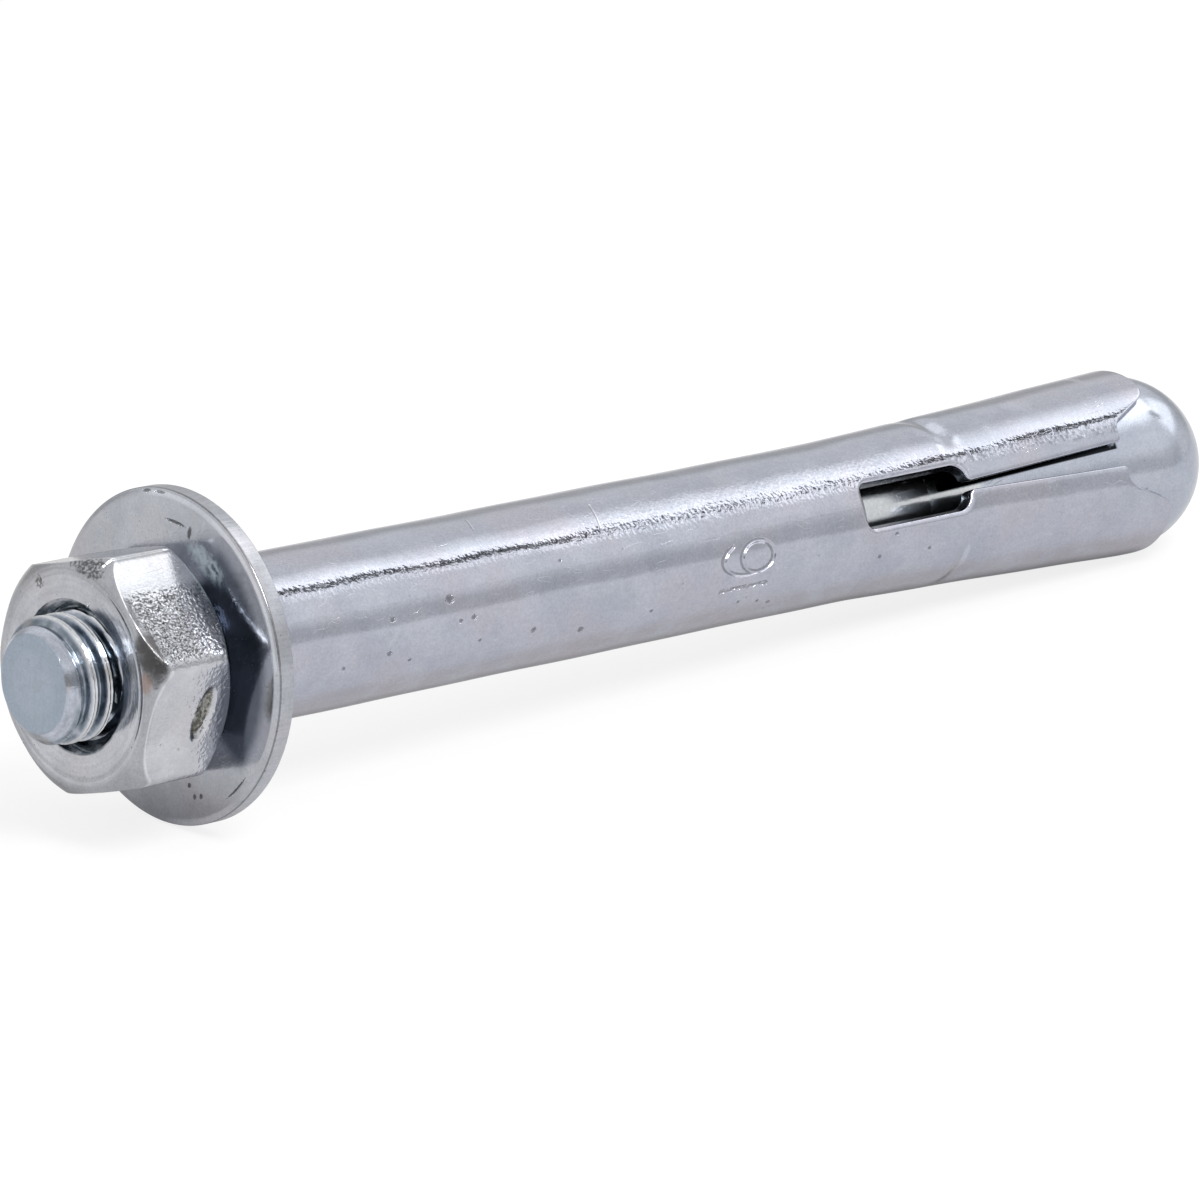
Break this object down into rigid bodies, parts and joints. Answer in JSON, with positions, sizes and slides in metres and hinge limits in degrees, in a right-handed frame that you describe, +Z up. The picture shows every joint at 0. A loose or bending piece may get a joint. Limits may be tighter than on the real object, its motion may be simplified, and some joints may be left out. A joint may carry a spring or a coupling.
{
  "type": "sleeve anchor",
  "caption": "Steel sleeve anchor: threaded stud with a ball-ended cone, rolled slotted sleeve flared at the tip, flat washer and hex nut.",
  "frame": {"origin": "middle of the anchor's box in plan, on the ground plane that the washer's rim and the ball end rest on", "axes": "+X runs along the anchor from the nut to the ball end, level with the ground, and the anchor's own axis dips 3.22 degrees below it; +Z is up; +Y is across"},
  "size_m": [0.1466, 0.0308, 0.0308],
  "materials": {
    "stud_zinc": "bright zinc plating on a rolled and turned stud, satin end faces",
    "sleeve_zinc": "bright zinc plating on rolled strip, fine orange-peel grain, small pits and scratches",
    "washer_zinc": "bright zinc plating on a punched washer, with scuffs",
    "nut_zinc": "bright zinc plating on a forged nut, soft corners and stained chamfers"
  },
  "bodies": {
    "sleeve": {"sleeve": "sleeve_zinc", "washer": "washer_zinc"},
    "nut": {"hex_nut": "nut_zinc"},
    "stud": {"stud": "stud_zinc"}
  },
  "joints": [
    {"name": "nut_turn", "type": "hinge", "parent": "sleeve", "child": "nut", "pos_m": [-0.05773, 0, 0.01549], "axis": [0.9984, 0, -0.0562], "range_deg": [-2521, 0]},
    {"name": "stud_draw", "type": "slide", "parent": "sleeve", "child": "stud", "axis": [0.9984, 0, -0.0562], "range_m": [0, 0.01225]}
  ],
  "couplings": [
    {"joint": "nut_turn", "follows": "stud_draw", "rad_per_m": -3590.4}
  ]
}
